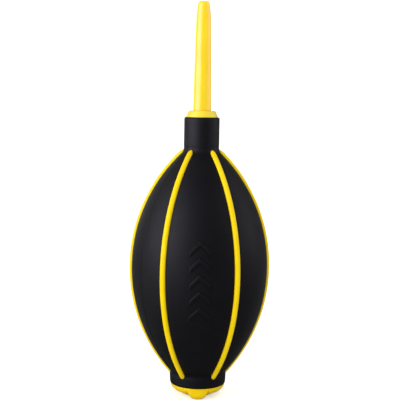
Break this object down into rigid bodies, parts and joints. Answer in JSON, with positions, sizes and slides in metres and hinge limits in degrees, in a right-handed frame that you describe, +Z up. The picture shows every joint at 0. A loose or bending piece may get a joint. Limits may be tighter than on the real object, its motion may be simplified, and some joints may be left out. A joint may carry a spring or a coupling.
{
  "type": "dust blower bulb",
  "caption": "Hand dust blower: ribbed silicone squeeze bulb on a three-footed base with a filtered intake valve and a long tapered nozzle.",
  "frame": {"origin": "on the axis, in the plane of the three feet", "axes": "+Z up the axis to the nozzle tip, -Y to the front (the panel with the raised chevrons, over the single front foot), +X to the viewer's right from the front"},
  "size_m": [0.0654, 0.0636, 0.183],
  "materials": {
    "bulb_silicone": "satin moulded silicone",
    "rib_silicone": "satin moulded silicone",
    "bush_plastic": "satin",
    "nozzle_plastic": "gloss, slightly translucent",
    "housing_plastic": "satin",
    "valve_silicone": "smooth translucent white silicone",
    "mesh_plastic": "plain",
    "foam": "open-cell foam",
    "cap_plastic": "semi-gloss",
    "seal_rubber": "smooth"
  },
  "bodies": {
    "base": {"bulb_shell": "bulb_silicone", "rib_left": "rib_silicone", "rib_right": "rib_silicone", "neck_bush": "bush_plastic", "valve_housing": "housing_plastic", "valve_cage": "housing_plastic", "filter_mesh": "mesh_plastic", "filter_foam": "foam", "filter_ring": "housing_plastic"},
    "front_wall": {"rib_front_left": "rib_silicone", "rib_front_right": "rib_silicone"},
    "back_wall": {"rib_back_left": "rib_silicone", "rib_back_right": "rib_silicone"},
    "nozzle": {"nozzle": "nozzle_plastic"},
    "disc": {"valve_disc": "valve_silicone"},
    "cap": {"base_cap": "cap_plastic", "cap_seal": "seal_rubber"}
  },
  "joints": [
    {"name": "squeeze_front", "type": "slide", "parent": "base", "child": "front_wall", "axis": [0, 1, 0], "range_m": [0, 0.012], "stiffness_N_per_m": 600, "deforming": ["bulb_shell", "rib_front_left", "rib_front_right"]},
    {"name": "squeeze_back", "type": "slide", "parent": "base", "child": "back_wall", "axis": [0, -1, 0], "range_m": [0, 0.012], "stiffness_N_per_m": 600, "deforming": ["rib_back_left", "rib_back_right"]},
    {"name": "valve_lift", "type": "slide", "parent": "base", "child": "disc", "axis": [0, 0, 1], "range_m": [0, 0.0012]},
    {"name": "nozzle_pull", "type": "slide", "parent": "base", "child": "nozzle", "axis": [0, 0, 1], "range_m": [0, 0.018]},
    {"name": "cap_pull", "type": "slide", "parent": "base", "child": "cap", "axis": [0, 0, -1], "range_m": [0, 0.008]}
  ],
  "couplings": [
    {"joint": "squeeze_back", "follows": "squeeze_front", "ratio": 1}
  ]
}
